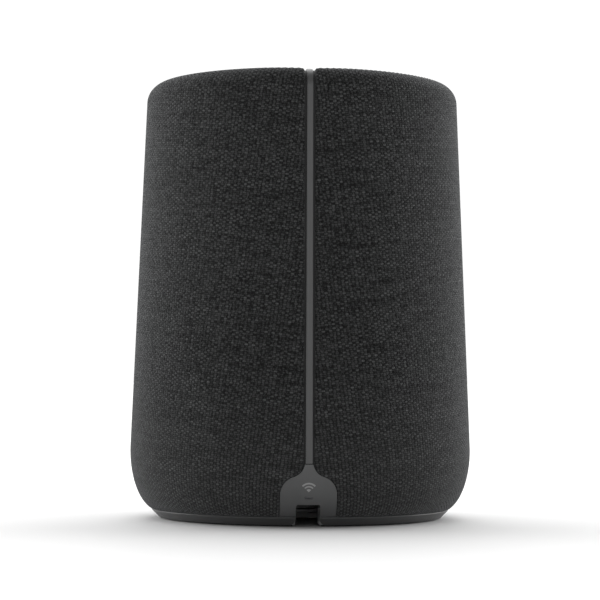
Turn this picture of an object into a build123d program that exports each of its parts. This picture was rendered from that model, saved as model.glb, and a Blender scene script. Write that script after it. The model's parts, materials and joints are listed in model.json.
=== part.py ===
from build123d import *
import math
import os

# Compact smart speaker: a tapered round body in a cloth sleeve, 187 mm tall and 146 mm across.
# Frame: +Z up, origin on the table at the centre of the base, front (drivers) towards -Y, rear spine
# and cord notch towards +Y. All sizes are in millimetres. Each function makes one sub-part.

# ---------------------------------------------------------------- driving dimensions
HEIGHT = 187.0  # table to the crest of the cloth rim
CLOTH_FOOT = (64.15, 4.0)  # radius and height where the cloth ends at the base
TAPER = 2.35  # degrees that the side leans in
LOWER_ARCS = ((17.0, 53.2, 27.0), (33.0, 27.0, 14.0), (49.0, 14.0, -TAPER))  # radius, lean from, lean to
RIM_R = 8.5  # outer round of the top rim
ROLL_R = 5.0  # round that carries the cloth down inside the rim
ROLL_END = -160.0  # lean angle where the cloth is tucked in
CLOTH_T = 1.2  # cloth with its foam backing
SHELL_T = 2.4  # moulded outer shell

SLIT_W = 4.4  # gap in the cloth along the rear spine
SPINE_W = (2.75, 2.35)  # spine strip width, bottom and top
SPINE_BOTTOM = 26.0
SPINE_INSET = 0.55  # how far the strip lies below the cloth's surface
PANEL_TOP = 25.6  # top of the bell-shaped rear panel
PANEL_W = 22.86
PANEL_NECK_W = 3.44  # width of the bell's top edge
PANEL_SHOULDER = (18.85, 7.6)  # height of the shoulder's corner, and its round
PANEL_NECK = (2.65, 21.75, 6.3)  # half width and height of the neck's corner, and its round
PANEL_INSET = 0.4
NOTCH_W = 9.8
NOTCH_H = 9.3
NOTCH_ROUND = (2.7, 0.8)  # round of the notch's mouth and of its top corners
LIGHT_SLOT = (3.1, 0.75, 12.1)  # width, height and centre height of the status light's slot
FIT = 0.15  # usual gap between fitted pieces

BASE_CORNER = (64.1, 3.72)  # outer corner of the base ring
BASE_FOOT_R = 61.0
BASE_TOP = (61.83, 6.76)
BASE_INNER_R = 49.0
PLATE_R = 57.9  # removable bottom plate
PLATE_Z = (0.6, 3.0)
FOOT_R = (50.0, 57.0)  # rubber foot ring
FOOT_T = 1.55
BASE_SCREW_AT = 53.5  # radius of the circle of base screws
POCKET = (22.0, 12.0, 48.0, 14.0)  # plug pocket: width, front y, rear y, depth
POCKET_WALL = 1.5
SERVICE_HOLE = ((26.0, 34.0), (18.5, 21.7))

TOP_R = 51.4  # control panel
TOP_Z = (181.8, 184.0)
DISH = 0.8  # how deep the control panel is dished
LEDGE_Z = (176.8, 178.8)  # shelf inside the shell that carries the control panel
WINDOW_HALF = 56.0  # the shell's front window for the grille
WINDOW_Z = (36.0, 172.0)
KEY_R = 7.0
KEY_OUT = 27.0  # distance of the keys from the centre
KEY_AT = {
    "volume_down": (-KEY_OUT, 0.0),
    "volume_up": (KEY_OUT, 0.0),
    "play_pause": (0.0, -KEY_OUT),
    "mic_mute": (0.0, KEY_OUT),
}
KEY_TRAVEL = 0.5
KEY_STEM_R = 1.8
LED_X = (-6.0, -2.0, 2.0, 6.0)
LED_R = 0.85
MIC_AT = ((-31.0, 31.0), (31.0, 31.0))
MIC_HOLE_R = 0.7
CONTROL_BOARD_Z = (175.2, 176.6)
CONTROL_BOARD_R = 47.0
CONTROL_SCREW_AT = 43.5
SWITCH_H = 2.0  # key switch with its button

CABINET_R = 60.5
CABINET_Z = (37.0, 173.2)
BAFFLE_Y = -42.0
CABINET_BACK = 48.0
CABINET_SPLIT = -30.0
WALL = 2.5
WOOFER_Z = 84.0
TWEETER_Z = 151.0
TWEETER_Y = -54.0  # front face of the raised tweeter boss
BOSS_HALF = 24.0
BOSS_Z = (129.6, 172.5)
WOOFER_HOLE_R = 38.0
WOOFER_SCREW_AT = 41.7
TWEETER_HOLE_R = 16.3
TWEETER_SCREW_AT = 18.6
LEAD_EXIT = (60.0, 4.5)  # height and radius of the hole for the driver leads

PSU_BOARD_Z = (17.5, 19.1)
PSU_HALF = (42.0, 34.0)
PSU_SCREW_AT = 40.0
MAIN_BOARD_Y = (51.0, 52.6)
MAIN_BOARD_X = (-32.0, 32.0)
MAIN_BOARD_Z = (62.0, 148.0)
BOARD_HOLE_R = 1.6
SCREW_R = 1.4  # board screw shank
POST_R = 3.0  # posts that take the board screws


# ---------------------------------------------------------------- body outline
def lean_point(centre, radius, lean):
    """Point of an arc whose outward normal leans by that angle, from horizontal."""
    a = math.radians(lean)
    return (centre[0] + radius * math.cos(a), centre[1] - radius * math.sin(a))


def outline_arcs():
    """The side profile's arcs, bottom to top, as (centre, radius, lean from, lean to)."""
    arcs, at = [], CLOTH_FOOT
    for radius, lean_from, lean_to in LOWER_ARCS:
        a = math.radians(lean_from)
        centre = (at[0] - radius * math.cos(a), at[1] + radius * math.sin(a))
        arcs.append((centre, radius, lean_from, lean_to))
        at = lean_point(centre, radius, lean_to)
    rim_z, taper = HEIGHT - RIM_R, math.radians(TAPER)
    rim_start = rim_z + RIM_R * math.sin(taper)
    rim_r = at[0] - (rim_start - at[1]) * math.tan(taper) - RIM_R * math.cos(taper)
    arcs.append(((rim_r, rim_z), RIM_R, -TAPER, -90.0))
    arcs.append(((rim_r, HEIGHT - ROLL_R), ROLL_R, -90.0, ROLL_END))
    return arcs


ARCS = outline_arcs()
RIM_CREST_R = ARCS[-1][0][0]


def chain(inset):
    """Edges of the side profile, bottom to top, that far inside the cloth's surface."""
    edges, last = [], None
    for centre, radius, lean_from, lean_to in ARCS:
        r = radius - inset
        start, end = lean_point(centre, r, lean_from), lean_point(centre, r, lean_to)
        middle = lean_point(centre, r, (lean_from + lean_to) / 2)
        if last and math.dist(last, start) > 0.01:
            edges.append(Line(last, start))
        edges.append(ThreePointArc(start, middle, end))
        last = end
    return edges


def band(outer, inner):
    """The body of revolution between two insets of the side profile."""
    outside, inside = chain(outer), chain(inner)
    ends = [Line(inside[0] @ 0, outside[0] @ 0), Line(outside[-1] @ 1, inside[-1] @ 1)]
    return turn(make_face(Wire(outside + inside + ends)))


def turn(profile):
    """Revolves a sketch drawn as (radius, height) about the Z axis."""
    return revolve(Plane.XZ * profile, Axis.Z)


def lathe(*points):
    """Body of revolution about Z from a polygon of (radius, height) points."""
    return turn(make_face(Polyline(*points, close=True)))


def ring(r_in, r_out, z0, z1):
    part = Pos(0, 0, (z0 + z1) / 2) * Cylinder(r_out, z1 - z0)
    return part - Pos(0, 0, (z0 + z1) / 2) * Cylinder(r_in, z1 - z0) if r_in else part


def block(x, y, z):
    """Box from (low, high) pairs."""
    size = [b - a for a, b in (x, y, z)]
    return Pos(*[(a + b) / 2 for a, b in (x, y, z)]) * Box(*size)


def around(count, first=0.0):
    return [first + 360.0 * i / count for i in range(count)]


def fuse(parts):
    parts = list(parts)
    return parts[0].fuse(*parts[1:]) if len(parts) > 1 else parts[0]


def group(parts):
    return Compound(children=list(parts))


def rear_prism(face, y0=30.0, y1=80.0):
    """Extrudes a sketch drawn as (x, z) along Y over the rear of the body."""
    return extrude(Plane.XZ.offset(-y0) * face, amount=-(y1 - y0))


def mirrored(right):
    """Face whose right half is that chain of (x, z) points."""
    return make_face(Polyline(*right, *[(-x, z) for x, z in reversed(right)], close=True))


def corners_at(face, z):
    return [v for v in face.vertices() if abs(v.Y - z) < 0.01]


def bell_outline(grow=0.0):
    """The rear panel's face, as (x, z): a narrow neck that flares into rounded shoulders."""
    half, foot = PANEL_W / 2 + grow, CLOTH_FOOT[1] - 2.0
    shoulder_z, shoulder_r = PANEL_SHOULDER
    neck_x, neck_z, neck_r = PANEL_NECK
    neck = (neck_x + grow, neck_z + grow)
    right = [(half, foot), (half, shoulder_z), neck, (PANEL_NECK_W / 2 + grow, PANEL_TOP + grow)]
    face = mirrored(right)
    face = fillet(corners_at(face, shoulder_z), shoulder_r)
    return fillet(corners_at(face, neck[1]), neck_r - grow)


def notch_outline(grow=0.0):
    """The cord notch as (x, z), with a rounded mouth at the table."""
    half, top, foot = NOTCH_W / 2 + grow, NOTCH_H + grow, PLATE_Z[0]
    mouth_r, top_r = NOTCH_ROUND
    wide = half + 2 * mouth_r
    face = mirrored([(wide, -1.0), (wide, foot), (half, foot), (half, top)])
    mouth = [v for v in corners_at(face, foot) if abs(v.X) < wide - 0.01]
    face = fillet(mouth, mouth_r)
    return fillet(corners_at(face, top), top_r)


# ---------------------------------------------------------------- outer pieces
def fabric_cover():
    slit = block((-SLIT_W / 2, SLIT_W / 2), (30, 80), (20, HEIGHT + 1))
    return band(0, CLOTH_T) - slit - rear_prism(bell_outline(FIT))


def outer_shell():
    shell = band(CLOTH_T + 0.02, CLOTH_T + SHELL_T)
    shelf = ring(50.0, 63.4, *LEDGE_Z) + ring(54.9, 57.2, LEDGE_Z[1], 182.6)
    window = block((-WINDOW_HALF, WINDOW_HALF), (-80, -30), WINDOW_Z)
    tunnel_half = NOTCH_W / 2 + 1.7
    tunnel = block((-tunnel_half, tunnel_half), (40, 80), (0, NOTCH_H + 1.8))
    light = block((-1.4, 1.4), (60, 80), (11.3, 13.0))
    rib = block((-3, 3), (51, 60), (CABINET_Z[1] + FIT, LEDGE_Z[0] + 1))
    ribs = [Rot(0, 0, a) * rib for a in around(4, 45)]
    return fuse([shell, shelf, *ribs]) - window - tunnel - light


def front_grille():
    """Perforated panel that closes the shell's front window under the cloth."""
    half, low, high = WINDOW_HALF - 0.2, WINDOW_Z[0] + 0.2, WINDOW_Z[1] - 0.2
    panel = band(CLOTH_T + 0.02, CLOTH_T + SHELL_T - 0.6) & block((-half, half), (-80, -30), (low, high))
    slot = block((-1.6, 1.6), (-80, -40), (0, 36))
    columns, step = 22, 4.6
    cuts = [Rot(0, 0, -50 + step * i) * Pos(0, 0, z) * slot for i in range(columns) for z in (44, 86, 128)]
    return panel - fuse(cuts)


def rear_spine_strip():
    low, high = SPINE_W
    return band(SPINE_INSET, CLOTH_T) & rear_prism(mirrored([(low / 2, SPINE_BOTTOM), (high / 2, HEIGHT)]))


def rear_panel():
    skin = band(PANEL_INSET, CLOTH_T) & rear_prism(bell_outline())
    half, wall, reach = NOTCH_W / 2, 1.2, 58.4
    across, up = (-half - wall, half + wall), (7.5, NOTCH_H + wall)
    hood = block(across, (reach, 66.0), up)
    hood += block(across, (65.0, 75.0), up) & band(PANEL_INSET + 0.3, CLOTH_T + SHELL_T)
    hood -= block((-half, half), (50, 80), (0, NOTCH_H))
    width, height, z = LIGHT_SLOT
    slot = rear_prism(Pos(0, z) * SlotOverall(width, height))
    return skin + hood - rear_prism(notch_outline()) - slot


def wifi_light_window():
    width, height, z = LIGHT_SLOT
    lens = rear_prism(Pos(0, z) * SlotOverall(width - FIT, height - FIT))
    half = 1.2
    pipe = block((-half, half), (64.0, 68.2), (z - 0.6, z + 0.6))
    pipe += block((-half, half), (67.5, 68.9), (z - 0.25, z + 0.25))
    return (band(PANEL_INSET + 0.45, CLOTH_T) & lens) + pipe


def base_ring():
    low, seat = PLATE_Z[0], PLATE_Z[1] + FIT
    inner, plate_hole = BASE_INNER_R, PLATE_R + 0.2
    outside = ((plate_hole, low), (BASE_FOOT_R, low), BASE_CORNER, BASE_TOP)
    body = lathe(*outside, (inner, BASE_TOP[1]), (inner, seat), (plate_hole, seat))
    corner = body.edges().filter_by(GeomType.CIRCLE).sort_by(lambda e: e.radius)[-1]
    body = fillet(corner, 0.35)
    for angle in around(6, 30):
        carries_cabinet = angle < 100 or angle > 260
        top = CABINET_Z[0] - FIT if carries_cabinet else 12.0
        body += Rot(0, 0, angle) * Pos(0, BASE_SCREW_AT, 0) * ring(0, 3.2, BASE_TOP[1] - 1.0, top)
    for angle in around(6, 30):
        body -= Rot(0, 0, angle) * Pos(0, BASE_SCREW_AT, 7.0) * Cylinder(1.25, 12.0)
    pocket = block((-13.2, 13.2), (40, 50.2), (0, 20))
    return body - rear_prism(notch_outline()) - block((-9, 9), (45, 58.4), (0, 20)) - pocket


def bottom_plate():
    width, front, rear, depth = POCKET
    half, wall = width / 2, POCKET_WALL
    plate = ring(0, PLATE_R, *PLATE_Z)
    plate += block((-half - wall, half + wall), (front - wall, rear + wall), (PLATE_Z[1], depth + wall))
    channel = NOTCH_W / 2
    plate += block((-channel - wall, channel + wall), (rear, 57.6), (PLATE_Z[0], NOTCH_H + wall))
    plate -= block((-half, half), (front, rear), (-1, depth))
    plate -= block((-channel, channel), (rear - 1, 60), (-1, NOTCH_H))
    plate -= ring(FOOT_R[0] - FIT, FOOT_R[1] + FIT, 0, FOOT_T + 0.05)
    plate -= block((-half, half), (front - 2, front + 1), (PLATE_Z[1], 13.5))
    plate -= block(*SERVICE_HOLE, (-1, 4))
    for angle in around(4, 45):
        post = ring(0, POST_R, PLATE_Z[1] - 0.1, PSU_BOARD_Z[0] - 0.02) - ring(0, SCREW_R, 6.5, 20)
        plate += Rot(0, 0, angle) * Pos(0, PSU_SCREW_AT, 0) * post
    for angle in around(6, 30):
        plate -= Rot(0, 0, angle) * Pos(0, BASE_SCREW_AT, 2) * Cylinder(1.5, 6)
        plate -= Rot(0, 0, angle) * Pos(0, BASE_SCREW_AT, 1.3) * Cylinder(2.9, 1.4)
    return plate


def foot_ring():
    foot = ring(FOOT_R[0], FOOT_R[1], 0, FOOT_T)
    foot -= block((-NOTCH_W / 2 - 1.0, NOTCH_W / 2 + 1.0), (40, 70), (-1, 5))
    for angle in around(6, 30):
        foot -= Rot(0, 0, angle) * Pos(0, BASE_SCREW_AT, 1) * Cylinder(3.0, 4)
    return foot


def base_screws():
    screws = []
    for angle in around(6, 30):
        screw = Pos(0, 0, 1.35) * Cylinder(2.7, 1.3) + Pos(0, 0, 6.0) * Cylinder(1.2, 8.4)
        screw -= Pos(0, 0, 0.9) * (Box(3.2, 0.7, 1.2) + Box(0.7, 3.2, 1.2))
        screws.append(Rot(0, 0, angle) * Pos(0, BASE_SCREW_AT, 0) * screw)
    return group(screws)


# ---------------------------------------------------------------- mains inlet and service port
INLET_Z = 8.2  # socket centre height
PIN_X = 4.3


def power_inlet():
    body = block((-10.8, 10.8), (-2.0, POCKET[1] - 0.02), (3.1, 13.3))
    cavity = extrude(Plane.XZ.offset(-2.0) * Pos(0, INLET_Z) * SlotOverall(16.4, 8.2), amount=-20)
    body -= cavity
    for x in (-PIN_X, PIN_X):
        body -= Pos(x, 0, INLET_Z) * Rot(90, 0, 0) * Cylinder(1.25, 12)
    return body


def inlet_pins():
    pins = []
    for x in (-PIN_X, PIN_X):
        pin = Pos(x, 2.2, INLET_Z) * Rot(90, 0, 0) * Cylinder(1.2, 16.4)
        tip = pin.faces().sort_by(Axis.Y)[-1]
        pins.append(fillet(tip.edges(), 0.9))
    return group(pins)


def service_port():
    (x0, x1), (y0, y1) = SERVICE_HOLE
    wall, gap = 0.4, 0.3
    shell = block((x0 + gap, x1 - gap), (y0 + gap, y1 - gap), (0.9, 7.0))
    shell -= block((x0 + gap + wall, x1 - gap - wall), (y0 + gap + wall, y1 - gap - wall), (0, 5.6))
    middle = (y0 + y1) / 2
    return shell + block((x0 + 1.6, x1 - 1.6), (middle - 0.2, middle + 0.2), (1.6, 5.7))


# ---------------------------------------------------------------- control panel
def dish():
    """A very large ball that dishes the top of the control panel and its keys."""
    radius = (TOP_R**2 + DISH**2) / (2 * DISH)
    return Pos(0, 0, TOP_Z[1] - DISH + radius) * Sphere(radius)


def top_trim_ring():
    foot, step, crest, inner, outer = LEDGE_Z[1] + 0.1, 182.9, 184.7, TOP_R + 0.2, 54.6
    lip = ((53.7, step + 0.3), (53.7, crest - 0.4), (53.3, crest), (inner + 0.4, crest), (inner, crest - 0.4))
    return lathe((inner, foot), (outer, foot), (outer, step), *lip)


def top_panel():
    panel = ring(0, TOP_R, *TOP_Z) + ring(48.0, TOP_R, LEDGE_Z[1] + 0.1, TOP_Z[0])
    for angle in around(4, 22.5):
        post = ring(SCREW_R, POST_R, CONTROL_BOARD_Z[1], TOP_Z[0])
        panel += Rot(0, 0, angle) * Pos(0, CONTROL_SCREW_AT, 0) * post
    panel -= dish()
    for x, y in KEY_AT.values():
        panel -= Pos(x, y, 183) * Cylinder(KEY_R + 0.2, 10)
    for x in LED_X:
        panel -= Pos(x, 0, 183) * Cylinder(LED_R, 10)
    for x, y in MIC_AT:
        panel -= Pos(x, y, 183) * Cylinder(MIC_HOLE_R, 10)
    return panel


def key(place):
    """A round key cap with its retaining flange and the stem that reaches its switch."""
    x, y = KEY_AT[place]
    skirt, flange_top, roof = TOP_Z[0] - 1.0, TOP_Z[0] - 0.1, TOP_Z[0]
    cap = ring(0, KEY_R, skirt, TOP_Z[1]) + ring(0, KEY_R + 1.0, skirt, flange_top)
    cap -= ring(0, KEY_R - 1.4, skirt - 1.0, roof)
    finger_dip_r, finger_dip = 60.0, 0.25
    cap -= Pos(0, 0, TOP_Z[1] - DISH + finger_dip_r - finger_dip) * Sphere(finger_dip_r)
    stem_foot = CONTROL_BOARD_Z[1] + SWITCH_H + KEY_TRAVEL + 0.1
    cap += ring(0, KEY_STEM_R, stem_foot, roof + 0.1)
    return Pos(x, y, 0) * cap - dish()


def light_pipes():
    low, high = CONTROL_BOARD_Z[1] + 0.7, TOP_Z[1] - DISH - 0.1
    return group(Pos(x, 0, 0) * ring(0, LED_R - 0.05, low, high) for x in LED_X)


def control_board():
    board = ring(0, CONTROL_BOARD_R, *CONTROL_BOARD_Z)
    for angle in around(4, 22.5):
        board -= Rot(0, 0, angle) * Pos(0, CONTROL_SCREW_AT, 176) * Cylinder(BOARD_HOLE_R, 4)
    return board


def key_switches():
    z, case = CONTROL_BOARD_Z[1], 1.6
    switch = block((-3, 3), (-3, 3), (z, z + case)) + ring(0, 1.6, z + case - 0.1, z + SWITCH_H)
    return group(Pos(x, y, 0) * switch for x, y in KEY_AT.values())


def microphones():
    z = CONTROL_BOARD_Z[1]
    return group(block((x - 1.8, x + 1.8), (y - 1.3, y + 1.3), (z, z + 1.1)) for x, y in MIC_AT)


def mic_gaskets():
    low, high = CONTROL_BOARD_Z[1] + 1.1, TOP_Z[0]
    return group(Pos(x, y, 0) * ring(0.8, 2.4, low, high) for x, y in MIC_AT)


# ---------------------------------------------------------------- cabinet
def cabinet_section(inset):
    """The cabinet's plan: a circle cut flat at the front and the back."""
    return extrude(
        Circle(CABINET_R - inset)
        & Pos(0, (BAFFLE_Y + CABINET_BACK) / 2) * Rectangle(200, CABINET_BACK - BAFFLE_Y - 2 * inset),
        amount=CABINET_Z[1] - CABINET_Z[0] - 2 * inset,
    ).moved(Location((0, 0, CABINET_Z[0] + inset)))


def cabinet():
    boss = block((-BOSS_HALF, BOSS_HALF), (TWEETER_Y, BAFFLE_Y + 1), BOSS_Z)
    inside = BOSS_HALF - WALL
    room = block((-inside, inside), (TWEETER_Y + WALL, BAFFLE_Y + 4), (BOSS_Z[0] + WALL, BOSS_Z[1] - 2.0))
    woofer_hole = driver(Cylinder(WOOFER_HOLE_R, 12), WOOFER_Z, BAFFLE_Y)
    tweeter_hole = driver(Cylinder(TWEETER_HOLE_R, 12), TWEETER_Z, TWEETER_Y)
    return cabinet_section(0) - cabinet_section(WALL) + boss - room - woofer_hole - tweeter_hole


def cabinet_front(whole):
    front = whole & block((-80, 80), (-80, CABINET_SPLIT - 0.4), (0, 200))
    for angle in around(4, 45):
        hole = Rot(0, 0, angle) * Pos(0, WOOFER_SCREW_AT, -2) * Cylinder(1.4, 8)
        front -= driver(hole, WOOFER_Z, BAFFLE_Y)
    return front


def cabinet_rear(whole):
    rear = whole & block((-80, 80), (CABINET_SPLIT + 0.4, 80), (0, 200))
    exit_z, exit_r = LEAD_EXIT
    rear -= Pos(0, CABINET_BACK, exit_z) * Rot(90, 0, 0) * Cylinder(exit_r, 12)
    for x, z in main_board_holes():
        rear += Pos(x, (CABINET_BACK + MAIN_BOARD_Y[0]) / 2 - 0.2, z) * Rot(90, 0, 0) * Cylinder(POST_R, 3.36)
        rear -= Pos(x, MAIN_BOARD_Y[0], z) * Rot(90, 0, 0) * Cylinder(SCREW_R, 7.0)
    return rear


def cabinet_gasket(whole):
    """Foam cord pressed between the cabinet halves."""
    slab = block((-80, 80), (CABINET_SPLIT - 0.38, CABINET_SPLIT + 0.38), (0, 200))
    return whole & slab


# ---------------------------------------------------------------- drivers
def driver(part, z, y):
    """Places a piece drawn about +Z (out of the baffle) so that it faces the front."""
    return Pos(0, y, z) * Rot(90, 0, 0) * part


def woofer_gasket():
    return ring(38.3, 40.0, 0, 0.8)


def woofer_basket():
    flange = ((45.0, 0.82), (45.0, 3.4), (39.7, 3.4), (39.7, 2.0), (36.0, 2.0), (36.0, 0.0))
    spider_ledge = ((30.4, -14.0), (28.8, -14.0), (28.8, -15.4), (29.2, -16.2), (29.2, -24.0))
    motor_seat = ((14.0, -24.0), (14.0, -26.0), (30.8, -26.0), (30.8, -14.6), (37.4, 0.82))
    body = lathe(*flange, *spider_ledge, *motor_seat)
    across, reach = (-7.5, 7.5), (24.0, 42.0)
    window = block(across, reach, (-12.6, -1.8)) + block(across, reach, (-23.4, -16.4))
    for angle in around(6, 30):
        body -= Rot(0, 0, angle) * window
    for angle in around(4, 45):
        body -= Rot(0, 0, angle) * Pos(0, WOOFER_SCREW_AT, 2) * Cylinder(1.7, 6)
    return body


def woofer_screws():
    screw = Pos(0, 0, 4.15) * Cylinder(2.3, 1.4) + Pos(0, 0, -0.3) * Cylinder(1.35, 7.6)
    return group(Rot(0, 0, a) * Pos(0, WOOFER_SCREW_AT, 0) * screw for a in around(4, 45))


def woofer_front_plate():
    return ring(11.4, 29.0, -30.0, -26.05)


def woofer_magnet():
    return ring(15.0, 30.0, -41.0, -30.05)


def woofer_yoke():
    return ring(3.0, 29.0, -45.0, -41.05) + ring(3.0, 9.4, -41.1, -26.5)


def woofer_cone():
    """Curved paper cone with a flat lip for the surround."""
    front = ThreePointArc((10.3, -10.4), (20.0, -3.6), (31.4, 1.95))
    back = ThreePointArc((31.8, 1.35), (20.3, -4.3), (10.3, -11.2))
    lip = Polyline((31.4, 1.95), (33.1, 1.95), (33.1, 1.35), (31.8, 1.35))
    return turn(make_face(Wire([front, back, Line((10.3, -11.2), (10.3, -10.4))] + lip.edges())))


def woofer_dust_cap():
    radius, rise = 12.0, 3.6
    ball = (radius**2 + rise**2) / (2 * rise)
    cap = Pos(0, 0, -8.6 + rise - ball) * (Sphere(ball) - Sphere(ball - 0.5))
    return cap & ring(0, radius, -8.6, 0)


def woofer_voice_coil():
    return ring(10.0, 10.25, -33.0, -10.6) + ring(10.25, 10.9, -32.5, -23.5)


def woofer_spider():
    """Corrugated cloth disc that centres the voice coil."""
    hub_r, rim_r, land, level = 10.3, 30.2, 1.6, -13.6
    waves, height, cloth = 5, 0.75, 0.35
    steps = waves * 8
    top = []
    for i in range(steps + 1):
        r = hub_r + (rim_r - hub_r - land) * i / steps
        top.append((r, level + height * math.sin(2 * math.pi * waves * i / steps)))
    top.append((rim_r, level))
    return lathe(*top, *[(r, z - cloth) for r, z in reversed(top)])


def woofer_surround():
    """Half-roll rubber surround between the cone's lip and the basket."""
    return half_roll(35.7, 2.6, 0.45, 2.02, 31.5, 39.6)


def half_roll(middle, roll, t, rise, land_in, land_out):
    """Ring with a half-round ridge between two flat lands."""
    outer = ThreePointArc((middle - roll, rise), (middle, rise + roll), (middle + roll, rise))
    inner = ThreePointArc((middle + roll - t, rise), (middle, rise + roll - t), (middle - roll + t, rise))
    ridge = turn(make_face(Wire([outer, inner, Line(outer @ 1, inner @ 0), Line(inner @ 1, outer @ 0)])))
    flat = (rise, rise + t)
    return ridge + ring(land_in, middle - roll + t, *flat) + ring(middle + roll - t, land_out, *flat)


def woofer_terminals():
    strip = block((-8, 8), (31.2, 33.0), (-23.0, -17.5))
    return strip + block((-6, -3), (33.0, 38.0), (-20.6, -20.0)) + block((3, 6), (33.0, 38.0), (-20.6, -20.0))


def tweeter_faceplate():
    plate = lathe((21.5, 0.02), (21.5, 2.2), (21.0, 2.6), (15.4, 2.6), (13.0, 1.2), (13.0, 0.02))
    for angle in around(3, 0):
        plate -= Rot(0, 0, angle) * Pos(0, TWEETER_SCREW_AT, 2) * Cylinder(1.3, 6)
    return plate


def tweeter_screws():
    screw = Pos(0, 0, 3.2) * Cylinder(2.0, 1.1) + Pos(0, 0, 1.4) * Cylinder(1.0, 2.6)
    return group(Rot(0, 0, a) * Pos(0, TWEETER_SCREW_AT, 0) * screw for a in around(3, 0))


def tweeter_dome():
    radius, rise = 9.9, 3.4
    ball = (radius**2 + rise**2) / (2 * rise)
    cap = Pos(0, 0, 0.3 + rise - ball) * (Sphere(ball) - Sphere(ball - 0.3))
    return cap & ring(0, radius, 0.3, 6)


def tweeter_voice_coil():
    return ring(9.65, 9.9, -4.2, 0.28) + ring(9.9, 10.2, -3.8, -1.6)


def tweeter_surround():
    return half_roll(11.4, 1.1, 0.22, 0.3, 9.95, 12.9)


def tweeter_motor():
    cup = ring(0, 13.8, -10.0, 0.0) - ring(0, 11.2, -7.5, 1.0)
    return cup + ring(0, 9.2, -7.6, -1.0) - ring(0, 1.5, -11, 0)


def tweeter_housing():
    """Sealed cup that closes the back of the tweeter."""
    return ring(0, 16.0, -17.0, -0.02) - ring(0, 14.0, -15.0, 1.0) + ring(0, 6.0, -15.1, -10.1)


# ---------------------------------------------------------------- electronics
def psu_board():
    width, depth = PSU_HALF
    board = block((-width, width), (-depth, depth), PSU_BOARD_Z)
    for angle in around(4, 45):
        board -= Rot(0, 0, angle) * Pos(0, PSU_SCREW_AT, 18) * Cylinder(SCREW_R, 4)
    return board


def on_psu(x, y, width, depth, height):
    low = PSU_BOARD_Z[1]
    return block((x - width / 2, x + width / 2), (y - depth / 2, y + depth / 2), (low, low + height))


def transformer():
    core = on_psu(12, -8, 22, 20, 14)
    winding = on_psu(12, -8, 14, 26, 11)
    return core + winding


def psu_capacitors():
    z = PSU_BOARD_Z[1]
    bulk = Pos(-12, -12, z + 7.5) * Cylinder(8.0, 15)
    small = [Pos(x, y, z + 5.5) * Cylinder(4.0, 11) for x, y in ((32, -18), (32, -8), (32, 2))]
    return group([bulk, *small])


def supply_filter_parts():
    """Mains terminal block, fuse and the ring core of the filter choke."""
    low = PSU_BOARD_Z[1]
    terminal = block((-24, -6), (-31, -25), (low, low + 8))
    fuse_tube = Pos(-34, -12, low + 2.7) * Rot(90, 0, 0) * Cylinder(2.6, 20)
    core = Pos(-28, 10, 0) * ring(4.0, 8.5, low, low + 8)
    return group([terminal, fuse_tube, core])


def amplifier_heat_sink():
    plate = on_psu(4, 22, 36, 2, 14)
    fins = [on_psu(-13 + 4.8 * i, 25.5, 1.4, 5.2, 14) for i in range(8)]
    return fuse([plate, *fins])


def main_board_holes():
    """(x, z) of the board's four screws."""
    return [(x, z) for x in (-28, 28) for z in (66, 144)]


def main_board():
    board = block(MAIN_BOARD_X, MAIN_BOARD_Y, MAIN_BOARD_Z)
    for x, z in main_board_holes():
        board -= Pos(x, 52, z) * Rot(90, 0, 0) * Cylinder(BOARD_HOLE_R, 6)
    return board


def board_screw():
    """Screw that points up, with the underside of its head at the origin."""
    screw = Pos(0, 0, -0.8) * Cylinder(2.6, 1.58) + Pos(0, 0, 2.0) * Cylinder(SCREW_R - 0.02, 4.2)
    return screw - Pos(0, 0, -1.5) * (Box(3.0, 0.6, 1.2) + Box(0.6, 3.0, 1.2))


def board_screws():
    """One size of screw holds the supply, main and control boards."""
    screw = board_screw()
    control = Pos(0, CONTROL_SCREW_AT, CONTROL_BOARD_Z[0] - 0.02) * screw
    supply = Pos(0, PSU_SCREW_AT, PSU_BOARD_Z[1] + 0.02) * Rot(180, 0, 0) * screw
    main = [Pos(x, MAIN_BOARD_Y[1] + 0.02, z) * Rot(90, 0, 0) * screw for x, z in main_board_holes()]
    control_set = [Rot(0, 0, a) * control for a in around(4, 22.5)]
    supply_set = [Rot(0, 0, a) * supply for a in around(4, 45)]
    return group(control_set + supply_set + main)


def processor_shield():
    y, wall = MAIN_BOARD_Y[1], 0.3
    (x0, x1), (z0, z1), height = (-14, 12), (96, 122), 2.4
    shield = block((x0, x1), (y, y + height), (z0, z1))
    return shield - block((x0 + wall, x1 - wall), (y - 1, y + height - wall), (z0 + wall, z1 - wall))


def main_board_components():
    """Processor, memory and amplifier chips, the wireless module and the connectors along the lower edge."""
    y = MAIN_BOARD_Y[1]
    chips = [(0, 108, 14, 14, 1.4), (-18, 84, 9, 9, 1.0), (10, 84, 12, 8, 1.1), (22, 112, 8, 12, 1.0)]
    wireless = (0, 135, 20, 14, 2.6)
    connectors = [(0, 67, 18, 6, 5.0), (20, 67, 10, 6, 5.0)]
    pieces = []
    for x, z, width, height, t in (*chips, wireless, *connectors):
        pieces.append(block((x - width / 2, x + width / 2), (y, y + t), (z - height / 2, z + height / 2)))
    return group(pieces)


def antennas():
    """Flexible aerials stuck to the back of the cabinet."""
    low = CABINET_BACK + 0.02
    return group(block((x - 9, x + 9), (low, low + 0.8), (156, 170)) for x in (-22, 22))


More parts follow.
